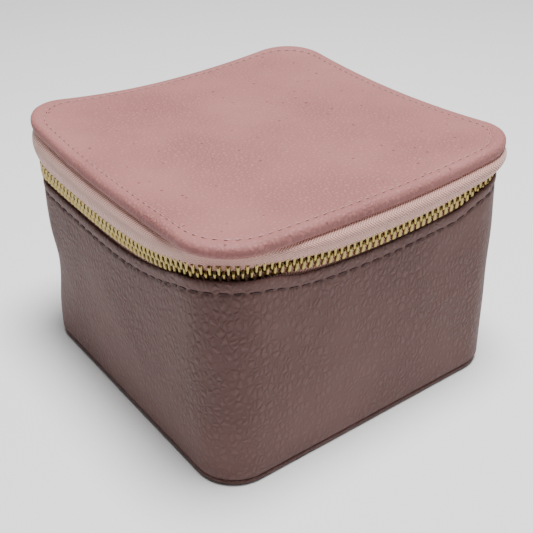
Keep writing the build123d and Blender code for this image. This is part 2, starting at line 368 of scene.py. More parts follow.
def wave(places, keys):
    """A size that runs smoothly round the case through its keys of (place, size)."""
    at = np.array([key[0] for key in keys] + [keys[0][0] + 4])
    size = np.array([key[1] for key in keys] + [keys[0][1]])
    slope = np.zeros(len(at))
    slope[1:-1] = (size[2:] - size[:-2]) / (at[2:] - at[:-2])
    slope[0] = slope[-1] = (size[1] - size[-2]) / (at[1] - at[0] + at[-1] - at[-2])
    turn = np.mod(np.asarray(places, float) - at[0], 4) + at[0]
    index = np.clip(np.searchsorted(at, turn, side="right") - 1, 0, len(at) - 2)
    span = at[index + 1] - at[index]
    t = (turn - at[index]) / span
    lead = slope[index] * span * (t ** 3 - 2 * t ** 2 + t)
    trail = slope[index + 1] * span * (t ** 3 - t ** 2)
    return size[index] + (size[index + 1] - size[index]) * t * t * (3 - 2 * t) + lead + trail


def near(value, middle, width):
    """1 at the middle, falling smoothly to 0 over the width."""
    return np.exp(-(((value - middle) / width) ** 2))


def step(value, low, high):
    """0 below low, 1 above high, and smooth between."""
    t = np.clip((np.asarray(value, float) - low) / (high - low), 0, 1)
    return t * t * (3 - 2 * t)


def wall_give(places, height, share=1.0):
    """How far the soft wall stands out of, or in from, its flat place. Its inner layers follow a
    share of the dent."""
    places = np.asarray(places, float)
    up = np.clip(height / wall_high.z, 0, 1)
    side = np.mod(places + 0.5, 1) - 0.5
    swell = 0.0005 * near(side, 0, 0.28) * np.sin(math.pi * up)
    above = np.where(height > 0.035, 0.0095, 0.016)
    dent = -0.0025 * near(places, 0.50, 0.12) * near(height, 0.035, above)
    slack = 0.00018 * np.sin(places * 9.1 + height * 55) * np.sin(height * 140 + places * 5.3)
    return (swell + dent + slack * np.sin(math.pi * up)) * share


def wall_ring(places, out, height, share=1.0):
    tight = 0.0020 * (1 - step(height, 0.0, 0.045)) - 0.0020 * step(height, 0.055, 0.078)
    return ring(places, out + wall_give(places, height, share), height, corner_centre + tight)


def needle_holes(points, pitch):
    """1 at each needle hole of a line of stitches and 0 between, and the exact pitch."""
    along = distances(points)
    exact = along[-1] / round(along[-1] / pitch)
    from_hole = np.abs(np.mod(along[:-1] / exact, 1) - 0.5) * exact
    return near(from_hole, 0, 0.00055), exact


rim = wave(column_places, rim_keys)
rim_stitch_path = wall_ring(column_places, wall_half, rim - stitch_drop)
rim_holes, rim_exact_pitch = needle_holes(rim_stitch_path, rim_stitch_pitch)
foot = wall_low.z + panel_gap
cover_inner = wall_half - leather_thickness
wall_rows = [
    wall_ring(column_places, wall_half - 0.0008, np.full_like(rim, foot)),
    wall_ring(column_places, wall_half - 0.0003, np.full_like(rim, foot + 0.0001)),
]
for share in np.linspace(0, 1, 22):
    height = foot + 0.0006 + (rim - stitch_drop - 0.0022 - foot) * share
    wall_rows.append(wall_ring(column_places, wall_half, height))
for offset, sink in ((-0.0008, 0.1), (-0.0004, 0.6), (0, 1.0), (0.0004, 0.6), (0.0008, 0.1)):
    cut = groove_depth * sink * (1.0 - 0.75 * rim_holes)
    wall_rows.append(wall_ring(column_places, wall_half - cut, rim - stitch_drop + offset))
for drop, out in (
    (0.0027, 0.00010), (0.0018, 0.00020), (0.0010, 0.00018), (0.0004, 0.00002), (0.00012, -0.0002),
    (0.0, -0.0005), (0.00012, -0.0008), (0.0005, -0.0010),
):
    wall_rows.append(wall_ring(column_places, wall_half + out, rim - drop))
for share in np.linspace(1, 0, 14):
    wall_rows.append(wall_ring(column_places, cover_inner, foot + (rim - 0.0012 - foot) * share))
piece("leather_wall", wrap_mesh(wall_rows), wall_leather_painted_shade, "case", "leather", "wall_cover")

board_low, board_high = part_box("wall_board")
board_thickness = 0.0016
wall_board_inner = board_high.x - board_thickness


def layer_rows(out, low, high, shares, give):
    """Rows up or down one face of a layer inside the wall, which gives with it by a share."""
    return [wall_ring(few_places, out, (low + (high - low) * share) * flat, give) for share in shares]


flat = np.ones_like(few_places)
face_gap = 0.00002
up_shares, down_shares = np.linspace(0, 1, 16), np.linspace(1, 0, 16)
board_rows = layer_rows(board_high.x - face_gap, board_low.z, board_high.z, up_shares, 1.0)
board_rows += layer_rows(wall_board_inner + face_gap, board_low.z, board_high.z, down_shares, 0.9)
piece("stiffening_board", wrap_mesh(board_rows), grey_board, "case", "board", "wall_board")

# ---- Rim stitching ------------------------------------------------------------------------------
# A dark waxed thread sewn through the turned edge, about 4 mm below the rim, drawn darker still as
# painted shade of the groove it lies sunk in. Each stitch ends in a needle hole.
def thread_stitch(length, width, thickness):
    """One stitch: a short thread that dives into the leather at both ends."""
    turns = np.linspace(0, 2 * math.pi, 6, endpoint=False)
    rows = []
    for along, girth, sink in (
        (-0.5, 0.35, -0.9), (-0.38, 0.9, -0.15), (0, 1.0, 0), (0.38, 0.9, -0.15), (0.5, 0.35, -0.9)
    ):
        across = np.cos(turns) * width / 2 * girth
        up = (np.sin(turns) * girth + sink) * thickness / 2
        rows.append(np.stack([np.full_like(turns, along * length), across, up], axis=1))
    return wrap_mesh(rows, closed_profile=False)


def repeat_along(name, path, closed, pattern, pitch, finish, wobble, seed):
    """Sets copies of a small mesh along a path at an even pitch, upright, by Geometry Nodes. Local
    X follows the path, and each copy is turned a little at random about its own X."""
    tree = bpy.data.node_groups.new(name + "_spacing", "GeometryNodeTree")
    inputs = {}
    for label, kind in (
        ("Path", "Geometry"), ("Pitch", "Float"), ("Pattern", "Object"), ("Finish", "Material"),
        ("Wobble", "Float"), ("Seed", "Int"),
    ):
        socket = tree.interface.new_socket(label, in_out="INPUT", socket_type="NodeSocket" + kind)
        inputs[label] = socket.identifier
    tree.interface.new_socket("Row", in_out="OUTPUT", socket_type="NodeSocketGeometry")
    given = tree.nodes.new("NodeGroupInput").outputs
    curve = add_node(tree, "GeometryNodeMeshToCurve", sockets={"Mesh": given["Path"]})["Curve"]
    spaced = add_node(
        tree, "GeometryNodeResampleCurve", mode="LENGTH",
        sockets={"Curve": curve, "Length": given["Pitch"]},
    )["Curve"]
    tangent = add_node(tree, "GeometryNodeInputTangent")["Tangent"]
    facing = add_node(
        tree, "FunctionNodeAlignRotationToVector", axis="X", sockets={"Vector": tangent}
    )["Rotation"]
    upright = add_node(
        tree, "FunctionNodeAlignRotationToVector", axis="Z", pivot_axis="X",
        sockets={"Rotation": facing, "Vector": (0, 0, 1)},
    )["Rotation"]
    chance = add_node(
        tree, "FunctionNodeRandomValue", data_type="FLOAT", sockets={
            2: calculate(tree, "MULTIPLY", given["Wobble"], -1.0), 3: given["Wobble"],
            "Seed": given["Seed"],
        },
    )[1]
    turn = add_node(tree, "ShaderNodeCombineXYZ", sockets={"X": chance})["Vector"]
    turn = add_node(tree, "FunctionNodeEulerToRotation", sockets={"Euler": turn})["Rotation"]
    turned = add_node(
        tree, "FunctionNodeRotateRotation", rotation_space="LOCAL",
        sockets={"Rotation": upright, "Rotate By": turn},
    )["Rotation"]
    source = add_node(tree, "GeometryNodeObjectInfo", sockets={"Object": given["Pattern"]})
    copies = add_node(
        tree, "GeometryNodeInstanceOnPoints",
        sockets={"Points": spaced, "Instance": source["Geometry"], "Rotation": turned},
    )["Instances"]
    row = add_node(tree, "GeometryNodeRealizeInstances", sockets={"Geometry": copies})["Geometry"]
    sockets = {"Geometry": row, "Material": given["Finish"]}
    row = add_node(tree, "GeometryNodeSetMaterial", sockets=sockets)["Geometry"]
    add_node(tree, "NodeGroupOutput", sockets={"Row": row})

    path_mesh = bpy.data.meshes.new(name + "_path")
    edges = [(index, index + 1) for index in range(len(path) - 1)]
    if closed:
        edges.append((len(path) - 1, 0))
    path_mesh.from_pydata(np.asarray(path).tolist(), edges, [])
    holder = bpy.data.objects.new(name + "_path", path_mesh)
    model = bpy.data.objects.new(name + "_pattern", pattern)
    link(holder)
    link(model)
    spacing = holder.modifiers.new("spacing", "NODES")
    spacing.node_group = tree
    for label, value in (
        ("Pitch", pitch * 0.9999), ("Pattern", model), ("Finish", finish), ("Wobble", wobble),
        ("Seed", seed),
    ):
        spacing[inputs[label]] = value
    bpy.context.view_layer.update()
    graph = bpy.context.evaluated_depsgraph_get()
    row = bpy.data.meshes.new_from_object(holder.evaluated_get(graph))
    bpy.data.objects.remove(holder)
    bpy.data.objects.remove(model)
    return row


def sew(name, path, stitch, pitch, thread, body, wobble, seed):
    """A closed line of stitches along a path, as a piece of its own."""
    row = repeat_along(name, path, True, thread_stitch(*stitch), pitch, thread, wobble, seed)
    piece(name, row, thread, body, "leather")


def thread_finish(name, colour):
    """Twisted sewing thread: fine slanted plies and a slight waxy gloss."""
    material, tree, shader = new_finish(name, 0.55)
    plies = add_node(
        tree, "ShaderNodeTexWave", bands_direction="DIAGONAL",
        sockets={"Vector": object_place(tree), "Scale": 900.0, "Distortion": 1.0},
    )["Fac"]
    shade = two_colours(tree, plies, [value * 0.7 for value in colour], colour)
    dress(tree, shader, shade, plies, 0.00005)
    return material


# Partly the thread's own dark colour, partly painted shade: the thread is darkened for its groove,
# and the same colour stands for the shade in the lid's needle holes.
dark_thread_and_painted_shade = thread_finish("dark_thread_and_painted_shade", (0.070, 0.027, 0.030))
rim_thread_path = wall_ring(column_places, wall_half - 0.00032, rim - stitch_drop)
sew(
    "rim_stitching", rim_thread_path, (0.0030, 0.00044, 0.00042), rim_exact_pitch, dark_thread_and_painted_shade,
    "case", 0.03, 4,
)

# ---- Linings, floor, tray ledge and dividers ----------------------------------------------------
# Soft pink microsuede over board. The wall's lining runs up behind the zip tape, and a ledge all
# round carries the tray. Two slotted boards divide the lower compartment.
chain_keys = [
    (0.00, 0.0742), (0.44, 0.0742), (0.50, 0.0737), (0.68, 0.0720), (0.85, 0.0715),
    (1.00, 0.0714), (1.16, 0.0727), (1.29, 0.0753), (1.40, 0.0777), (1.50, 0.0789),
    (1.60, 0.0788), (1.72, 0.0770), (1.85, 0.0750), (2.00, 0.0744), (2.15, 0.0748),
    (2.28, 0.0760), (2.40, 0.0775), (2.50, 0.0781), (2.60, 0.0766), (2.72, 0.0743), (2.745, 0.0742),
    (3.00, 0.0742), (3.40, 0.0742),
]
tape_out_keys = [
    (0.00, 0.0612), (1.25, 0.0612), (1.40, 0.0600), (1.50, 0.0591), (1.60, 0.0595),
    (1.75, 0.0608), (2.00, 0.0612), (2.25, 0.0611), (2.40, 0.0604), (2.50, 0.0597),
    (2.62, 0.0605), (2.72, 0.0611), (2.745, 0.0612), (3.50, 0.0612),
]
tape_foot = 0.0660          # where the body's tape is sewn in behind the wall
tape_half = 0.0003          # half of the tape's thickness
tape_sewn_out = 0.0612      # from the middle to the body's tape, where it is sewn in
lining_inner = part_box("floor_lining")[1].x + 0.0001


def tape_lean(places, height):
    """How far out the body's tape stands at a height, between its sewn edge and its teeth."""
    chain = wave(places, chain_keys)
    top = wave(places, tape_out_keys)
    return tape_sewn_out + (top - tape_sewn_out) * step(height, tape_foot + 0.002, chain - 0.0008)


def suede_finish(name, colour):
    """Microsuede: a short brushed nap that is paler at a glance, with slow strokes of shade."""
    material, tree, shader = new_finish(name, 0.92)
    shader.inputs["Specular IOR Level"].default_value = 0.15
    shader.inputs["Sheen Weight"].default_value = 0.5
    shader.inputs["Sheen Roughness"].default_value = 0.4
    shader.inputs["Sheen Tint"].default_value = (1.0, 0.86, 0.84, 1)
    place = object_place(tree)
    nap = noise(tree, place, 2600.0, 2.0)["Fac"]
    strokes = noise(tree, place, 70.0, 3.0, Distortion=1.2)["Fac"]
    both = calculate(tree, "MULTIPLY_ADD", nap, 0.35, strokes)
    tone = stretch(tree, both, 0.35, 1.0, 0.78, 1.12)
    dress(tree, shader, toned(tree, colour, tone), nap, 0.00012)
    return material


suede = suede_finish("pink_suede", (0.58, 0.40, 0.375))
lining_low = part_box("wall_lining")[0]
hem_top = wave(few_places, chain_keys) - 0.0043
lining_rows = layer_rows(
    wall_board_inner, lining_low.z, tape_foot - 0.0002, np.linspace(0, 1, 14), 0.9
)
for share in np.linspace(0, 1, 6):
    height = tape_foot + (hem_top - 0.0003 - tape_foot) * share
    lining_rows.append(wall_ring(few_places, tape_lean(few_places, height) - 0.0005, height, 0.3))
lean = tape_lean(few_places, hem_top) - tape_sewn_out
lining_rows.append(wall_ring(few_places, 0.0605 + lean, hem_top, 0.3))
lining_rows.append(wall_ring(few_places, lining_inner + 0.0003 + lean * 0.5, hem_top, 0.3))
lining_rows.append(wall_ring(few_places, lining_inner + lean * 0.5, hem_top - 0.0004, 0.3))
for share in np.linspace(0.92, 0, 14):
    height = lining_low.z + (hem_top - lining_low.z) * share
    drawn = lean * 0.5 * step(height, 0.062, 0.070)
    lining_rows.append(wall_ring(few_places, lining_inner + drawn, height, 0.55))
piece("wall_lining_suede", wrap_mesh(lining_rows), suede, "case", "lining", "wall_lining")

ledge_low, ledge_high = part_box("tray_ledge")
ledge_inner = ledge_high.x - 0.0024
ledge_rows = layer_rows(
    ledge_high.x, ledge_low.z, ledge_high.z - 0.0004, np.linspace(0, 1, 12), 0.55
)
ledge_rows.append(wall_ring(few_places, ledge_high.x - 0.0004, ledge_high.z * flat, 0.55))
ledge_rows.append(wall_ring(few_places, ledge_inner + 0.0005, ledge_high.z * flat, 0.4))
ledge_rows.append(wall_ring(few_places, ledge_inner + 0.0001, (ledge_high.z - 0.0003) * flat, 0.4))
ledge_rows += layer_rows(ledge_inner, ledge_low.z, ledge_high.z, np.linspace(0.96, 0, 12), 0.4)
piece("tray_ledge_suede", wrap_mesh(ledge_rows), suede, "case", "lining", "tray_ledge")
finish_node("floor_lining", suede)


def soft_piece(node, name, round_by, finish, body, slot):
    """A CAD piece with its sharp edges softened, and its flat faces kept flat in the light."""
    shape = bmesh.new()
    shape.from_mesh(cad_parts[node].data)
    bmesh.ops.remove_doubles(shape, verts=shape.verts, dist=1e-6)
    bmesh.ops.dissolve_limit(shape, angle_limit=0.02, verts=shape.verts, edges=shape.edges)
    sharp = [edge for edge in shape.edges if edge.is_manifold and edge.calc_face_angle() > 0.6]
    bmesh.ops.bevel(
        shape, geom=sharp, offset=round_by, segments=3, profile=0.5, affect="EDGES",
        clamp_overlap=True,
    )
    bmesh.ops.triangulate(shape, faces=[face for face in shape.faces if len(face.verts) > 4])
    made = piece(name, to_mesh(shape, bpy.data.meshes.new(name)), finish, body, slot, node)
    made.data.set_sharp_from_angle(angle=math.radians(50))


for node in ("lower_divider_long", "lower_divider_cross"):
    soft_piece(node, node + "_suede", 0.0004, suede, "case", "lining")

# ---- Zip tapes and hinge strip ------------------------------------------------------------------
# Woven herringbone tape, sewn in behind the wall and under the lid. Closed, the lid's tape bows
# outwards in a soft roll above the teeth. Both tapes stop at a leather strip that hinges the lid
# along the back.
lid_low_box, lid_high_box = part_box("lid_cover")
lid_half = lid_high_box.x
lid_edge_height = lid_low_box.z + 0.0001
corner_lift = 0.0031
front_left_lift = 0.0014
rear_left_lift = 0.0043
full_lift_at = 0.052        # how far along an edge, from its middle, the lid has its corner's lift
slider_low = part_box("zip_slider")[0]
hinge_low, hinge_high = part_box("hinge_strip")
tape_start = hinge_high.x / quarter_length
tape_places = np.linspace(tape_start, 4 - tape_start, 620)
tooth_reach = 0.0008        # from the chain's middle to a tape's edge, where there are teeth
chain_start, chain_end = 0.450, 3.400


def lid_lift(x, y):
    """How much the lid is raised at a point: nothing along its middle lines and most at its
    corners, each by its own lift."""
    most = np.where(x < 0, np.where(y < 0, front_left_lift, rear_left_lift), corner_lift)
    return most * np.clip((x * y / (lid_half * full_lift_at)) ** 2, 0, 1.3)


def tape_finish(name, colour, shade_colour):
    """Twill tape: fine ribs that slant one way and then the other in narrow bands, with a satin
    gloss. The pattern follows the tape's own length and width."""
    band_width, rib_pitch, weft_pitch = 0.0032, 0.00105, 0.00045
    material, tree, shader = new_finish(name, 0.55)
    shader.inputs["Sheen Weight"].default_value = 0.3
    lay = add_node(tree, "ShaderNodeUVMap", uv_map="lay")["UV"]
    split = add_node(tree, "ShaderNodeSeparateXYZ", sockets={"Vector": lay})
    fold = calculate(tree, "PINGPONG", split["Y"], band_width)
    slant = calculate(tree, "MULTIPLY_ADD", fold, 0.9, split["X"])
    ribs = calculate(tree, "SINE", calculate(tree, "MULTIPLY", slant, 2 * math.pi / rib_pitch))
    weft = calculate(tree, "SINE", calculate(tree, "MULTIPLY", split["Y"], 2 * math.pi / weft_pitch))
    weave = calculate(tree, "MULTIPLY_ADD", weft, 0.4, ribs)
    high = stretch(tree, weave, -1.4, 1.0)
    dress(tree, shader, two_colours(tree, high, shade_colour, colour), high, 0.00018)
    return material


def tape_mesh(rows):
    """A closed strip of tape, from rows of how far out its middle stands and how high."""
    faces = [ring(tape_places, out + tape_half, height) for out, height in rows]
    faces += [ring(tape_places, out - tape_half, height) for out, height in reversed(rows)]
    return wrap_mesh(faces, closed_round=False)


woven_tape = tape_finish("woven_tape", (0.90, 0.48, 0.40), (0.25, 0.105, 0.082))
chain_middle = wave(tape_places, chain_keys)
tape_out = wave(tape_places, tape_out_keys)
slider_lane = step(tape_places, 2.66, 2.74) * (1 - step(tape_places, 3.42, 3.50))
bow = 0.0031                # how far the lid's tape bows out, with more or less at three corners
for corner, more in ((0.5, -0.0007), (1.5, -0.0034), (2.5, 0.0003)):
    bow = bow + more * near(tape_places, corner, 0.15)
bow = bow * step(tape_places, 0.37, 0.48) * (1 - step(tape_places, 3.50, 3.62))
toothed = step(tape_places, chain_start - 0.004, chain_start + 0.004)
toothed = toothed * (1 - step(tape_places, chain_end - 0.004, chain_end + 0.004))
bare_reach = 0.00006        # the same where there are none, so that the two edges almost meet
reach = bare_reach + (tooth_reach - bare_reach) * toothed
edge_x, edge_y = outline(tape_places, lid_half)
lid_edge = lid_edge_height + lid_lift(edge_x, edge_y)
lid_tape_top = 0.0006       # the tape goes this far up behind the lid's edge
lid_tape_out = 0.0614 - tape_half
top = lid_edge + lid_tape_top
tape_rows = []
for share in np.linspace(0, 1, 22):
    height = top + (chain_middle + reach - top) * share
    level = lid_tape_out + (tape_out - lid_tape_out) * share
    free_bow = bow * np.sin(math.pi * share ** 0.72)
    lane_bow = bow * 0.40 * np.sin(math.pi * min(share / 0.55, 1))
    tape_rows.append((level + free_bow * (1 - slider_lane) + lane_bow * slider_lane, height))
piece("lid_tape_woven", tape_mesh(tape_rows), woven_tape, "lid", "tape", "lid_zip_tape")
heights = [
    tape_foot + (chain_middle - reach - tape_foot) * share for share in np.linspace(0, 1, 12)
]
tape_rows = [(tape_lean(tape_places, height), height) for height in heights]
piece("body_tape_woven", tape_mesh(tape_rows), woven_tape, "case", "tape", "body_zip_tape")

strip_columns = np.linspace(-1, 1, 60)
bend_low, bend_middle, bend_high = 0.0728, 0.0742, 0.0756
strip_levels = np.concatenate([
    np.linspace(hinge_low.z, bend_low - 0.0003, 6), np.linspace(bend_low, bend_high, 15),
    np.linspace(bend_high + 0.0006, hinge_high.z, 8),
])
strip_rows = []
for face in (hinge_high.y, hinge_low.y):
    levels = strip_levels if face == hinge_high.y else strip_levels[::-1]
    for level in levels:
        x = strip_columns * (hinge_high.x - 0.0001)
        crease = 0.00008 * near(level, bend_middle, 0.0009) * (1 if face == hinge_high.y else -1)
        raised = level + lid_lift(x, face) * step(level, 0.080, hinge_high.z)
        strip_rows.append(np.stack([x, np.full_like(x, face - crease), raised], axis=1))
hinge_leather = piece(
    "hinge_leather", wrap_mesh(strip_rows, closed_round=False), wall_leather_painted_shade, None, "leather",
    "hinge_strip",
)
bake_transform(hinge_leather)

# ---- Zip teeth ----------------------------------------------------------------------------------
# Two rows of pressed brass teeth in a pale gold plate. Each straddles the edge of its tape with
# two forked legs, and its head meshes half a pitch along from the heads of the other row.
def gold_finish(name, colour, roughness):
    """Pale gold plate over brass: bright, with faint scuffs and slightly uneven gloss."""
    material, tree, shader = new_finish(name, roughness)
    shader.inputs["Metallic"].default_value = 1.0
    scuffs = noise(tree, object_place(tree), 900.0, 4.0)["Fac"]
    gloss = stretch(tree, scuffs, 0.3, 0.7, roughness * 0.8, roughness * 1.35)
    tone = stretch(tree, scuffs, 0.3, 0.7, 0.86, 1.04)
    tree.links.new(gloss, shader.inputs["Roughness"])
    tree.links.new(toned(tree, colour, tone), shader.inputs["Base Color"])
    return material


tooth_gold = gold_finish("tooth_gold", (0.39, 0.295, 0.11), 0.26)
tooth_pitch = 0.00254


def tooth_mesh(half_outline, notch_width, notch_top, turn):
    """A tooth: a forked plate outside the tape, its twin inside, and a bridge over the tape's edge.
    The half outline runs from the leg's foot up to the head."""
    right = list(half_outline)
    foot = right[0][1]
    ring_points = right + [(-x, z) for x, z in reversed(right)]
    ring_points += [(-notch_width, foot), (0, notch_top), (notch_width, foot)]
    middle_z = sum(z for _, z in ring_points) / len(ring_points)
    shape = bmesh.new()
    for side in (-1, 1):
        loops = []
        for depth, scale in ((0.00034, 1.0), (0.00066, 0.96), (0.00104, 0.76), (0.00130, 0.36)):
            loops.append([
                shape.verts.new((
                    x * scale, side * depth,
                    turn * (middle_z + (z - middle_z) * (1 - (1 - scale) * 0.35)),
                ))
                for x, z in ring_points
            ])
        for near_loop, far_loop in zip(loops, loops[1:]):
            for index in range(len(ring_points)):
                after = (index + 1) % len(ring_points)
                shape.faces.new(
                    (near_loop[index], near_loop[after], far_loop[after], far_loop[index])
                )
        shape.faces.new(loops[0])
        shape.faces.new(loops[-1])
    bridge_size = Vector((0.00085, 0.0008, turn * 0.0013))
    for vert in bmesh.ops.create_cube(shape, size=1.0)["verts"]:
        vert.co = vert.co * bridge_size
    bmesh.ops.triangulate(shape, faces=[face for face in shape.faces if len(face.verts) > 4])
    return to_mesh(shape, bpy.data.meshes.new("tooth"))


levels = (-0.0027, -0.0014, -0.0008, -0.0001, 0.00076)
body_widths = (0.00086, 0.00076, 0.00056, 0.00064, 0.00042)
lid_widths = (0.00080, 0.00072, 0.00050, 0.00056, 0.00040)
body_tooth = tooth_mesh(zip(body_widths, levels), 0.00020, -0.0019, 1)
lid_tooth = tooth_mesh(zip(lid_widths, levels), 0.00010, -0.0023, -1)
first_tooth_turn = math.radians(34)     # how far round the rear left corner the chain begins
slider_room = 0.0025
first_tooth_place = (corner_centre + corner_radius * first_tooth_turn) / quarter_length
last_tooth_place = 3 + (slider_low.y - slider_room) / quarter_length
half_pitch_place = tooth_pitch / 2 / quarter_length
for name, tooth, ahead, body, node in (
    ("body_teeth", body_tooth, 0.0, "case", "body_zip_teeth"),
    ("lid_teeth", lid_tooth, half_pitch_place, "lid", "lid_zip_teeth"),
):
    row_places = np.linspace(first_tooth_place + ahead, last_tooth_place + ahead, 900)
    row_path = ring(row_places, wave(row_places, tape_out_keys), wave(row_places, chain_keys))
    row_length = distances(row_path)[-2]
    exact_pitch = row_length / round(row_length / tooth_pitch)
    row = repeat_along(name, row_path, False, tooth, exact_pitch, tooth_gold, 0.02, 7)
    made = piece(name, row, tooth_gold, body, "zip_metal", node)
    made.data.set_sharp_from_angle(angle=math.radians(60))

# ---- Zip stops, slider and pull -----------------------------------------------------------------
# Stamped stops close the chain's ends. The slider is parked at the rear of the right side, and its
# long slotted pull hangs from a bail. All are cast brass under the same pale gold plate.
cast_gold = gold_finish("cast_gold", (0.50, 0.39, 0.18), 0.20)
for node in ("body_top_stop", "lid_top_stop", "zip_bottom_stop"):
    finish_node(node, tooth_gold)
soft_piece("zip_slider", "cast_slider", 0.00028, cast_gold, "slider", "zip_metal")
soft_piece("zip_pull", "cast_pull", 0.00022, cast_gold, "pull", "zip_metal")


# ---- Lid ----------------------------------------------------------------------------------------
# Thin foam and board under smoother, stretched leather, with a rolled edge and a line of stitches
# 4 mm in from it. The panel has taken a set: its four corners stand higher than its sides.
# The lid's leather is the lit copy of the hide; the walls' copy is drawn darker as painted shade.
lid_leather = leather_finish(
    "lid_leather", (0.340, 0.143, 0.134), (0.170, 0.064, 0.060), 0.0015, 0.00020, 0.42, 1.2
)
lid_corner = corner_centre + 0.0003
lid_thickness = 0.0041
lid_stitch_out = lid_half - 0.0040
lid_stitch_pitch = 0.0033
lid_groove = 0.00028


def lid_ring(places, out, above):
    """A row of points round the lid, a height above its wavy underside."""
    centre = np.minimum(lid_corner, np.asarray(out, float) * 0.72)
    x, y = outline(places, out, centre)
    return np.stack([x, y, lid_edge_height + lid_lift(x, y) + above], axis=1)


def lid_crown(out):
    """The padding under the top leather: a slight dome inside the stitches."""
    return 0.0003 * step(1 - np.asarray(out) / lid_stitch_out, 0.0, 0.5)


lid_stitch_path = lid_ring(column_places, lid_stitch_out, lid_thickness)
lid_holes, lid_exact_pitch = needle_holes(lid_stitch_path, lid_stitch_pitch)
foam_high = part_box("lid_foam")[1]
foam_top = foam_high.z - lid_low_box.z
lid_inner = foam_high.x + 0.0001
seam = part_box("lid_lining")[1].x + 0.0008
lid_rows = [lid_ring(column_places, out, foam_top) for out in (0.004, 0.020, 0.036, 0.052, 0.060)]
for out, above in (
    (lid_inner, foam_top), (lid_inner, 0.0008), (seam, 0.0008), (seam + 0.00005, 0.0002),
    (seam + 0.0003, 0.0), (0.0625, -0.00005), (0.0630, 0.00012), (0.0633, 0.0005), (0.06348, 0.0011),
    (0.0635, 0.0018), (0.0634, 0.0026), (0.0631, 0.0033), (0.0626, 0.0038), (0.0620, 0.0041),
    (0.0613, 0.00425), (0.0606, 0.0042), (0.0602, 0.00412),
):
    lid_rows.append(lid_ring(column_places, out, above))
for offset, sink in (
    (0.0004, 0.35), (0.0002, 0.8), (0, 1.0), (-0.0002, 0.8), (-0.0004, 0.35), (-0.0008, 0.05)
):
    cut = lid_groove * sink * (0.35 + 1.5 * lid_holes)
    lid_rows.append(lid_ring(column_places, lid_stitch_out + offset, lid_thickness - cut))
for out in (
    0.0580, 0.0565, 0.0540, 0.0500, 0.0450, 0.0400, 0.0350, 0.0300, 0.0240, 0.0180, 0.0120, 0.0060,
    0.0015,
):
    lid_rows.append(lid_ring(column_places, out, lid_thickness + float(lid_crown(out))))
piece(
    "lid_leather_cover", wrap_mesh(lid_rows, closed_profile=False), lid_leather,
    "lid", "leather", "lid_cover",
)

pale_thread = thread_finish("pale_thread", (0.43, 0.21, 0.20))
lid_thread_path = lid_stitch_path - np.array([0, 0, 0.00008])
sew(
    "lid_stitching", lid_thread_path, (0.0023, 0.00055, 0.00045), lid_exact_pitch, pale_thread,
    "lid", 0.05, 11,
)
# Painted shade in the needle holes: small dark discs sunk half a stitch along from each of the lid's
# stitches.
half_stitch = lid_exact_pitch / 2 / quarter_length
lid_hole_shade_path = lid_ring(column_places + half_stitch, lid_stitch_out, lid_thickness - 0.00040)
sew(
    "lid_needle_holes", lid_hole_shade_path, (0.0011, 0.00060, 0.00050), lid_exact_pitch, dark_thread_and_painted_shade,
    "lid", 0.05, 12,
)


def lid_plate(half, low, high):
    """A thin layer of the lid that follows its waves, between two heights above its underside."""
    spans = (0.0015, 0.020, 0.040, half * 0.9, half - 0.0002)
    rows = [lid_ring(few_places, out, low) for out in spans]
    rows += [lid_ring(few_places, half, low + 0.0002), lid_ring(few_places, half, high - 0.0002)]
    rows += [lid_ring(few_places, out, high) for out in reversed(spans)]
    return wrap_mesh(rows, closed_profile=False)


def foam_finish(name, colour):
    """Open-cell foam: small round pores."""
    material, tree, shader = new_finish(name, 0.95)
    cells = add_node(
        tree, "ShaderNodeTexVoronoi", sockets={"Vector": object_place(tree), "Scale": 1800.0}
    )["Distance"]
    shade = two_colours(tree, cells, [value * 0.6 for value in colour], colour)
    dress(tree, shader, shade, cells, 0.0002)
    return material


cream_foam = foam_finish("cream_foam", (0.78, 0.74, 0.62))
layer_gap = 0.00003
for name, node, finish, slot in (
    ("lid_panel_board", "lid_board", grey_board, "board"),
    ("lid_foam_sheet", "lid_foam", cream_foam, "foam"),
):
    node_low, node_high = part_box(node)
    low, high = node_low.z - lid_low_box.z + layer_gap, node_high.z - lid_low_box.z - layer_gap
    layer = piece(name, lid_plate(node_high.x, low, high), finish, "lid", slot, node)
lid_lining_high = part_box("lid_lining")[1]
lining_mesh = lid_plate(lid_lining_high.x, 0.0, lid_lining_high.z - lid_low_box.z - layer_gap)
piece("lid_lining_suede", lining_mesh, suede, "lid", "lining", "lid_lining")

# ---- Mirror -------------------------------------------------------------------------------------
# A silvered glass with rounded corners lies against the lid's lining. A soft leather frame laps
# over its edges, and is glued to the lining.
mirror_silver, silver_tree, silver_shader = new_finish("mirror_silver", 0.5)
silver_shader.inputs["Metallic"].default_value = 1.0
silver_shader.inputs["Base Color"].default_value = (0.88, 0.90, 0.90, 1)
silver_haze = noise(silver_tree, object_place(silver_tree), 40.0, 5.0)["Fac"]
silver_gloss = stretch(silver_tree, silver_haze, 0.45, 0.75, 0.015, 0.06)
silver_tree.links.new(silver_gloss, silver_shader.inputs["Roughness"])
finish_node("lid_mirror", mirror_silver)

frame_low, frame_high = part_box("mirror_frame")
mirror_low, mirror_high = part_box("lid_mirror")
frame_half = frame_high.x
opening_half = mirror_high.x - 0.0010


def under_lining(out, radius):
    """The frame's back follows the lid's lining, a hair below it."""
    x, y = outline(few_places, out, out - radius)
    return ring(few_places, out, lid_edge_height + lid_lift(x, y) - 0.0002, out - radius)


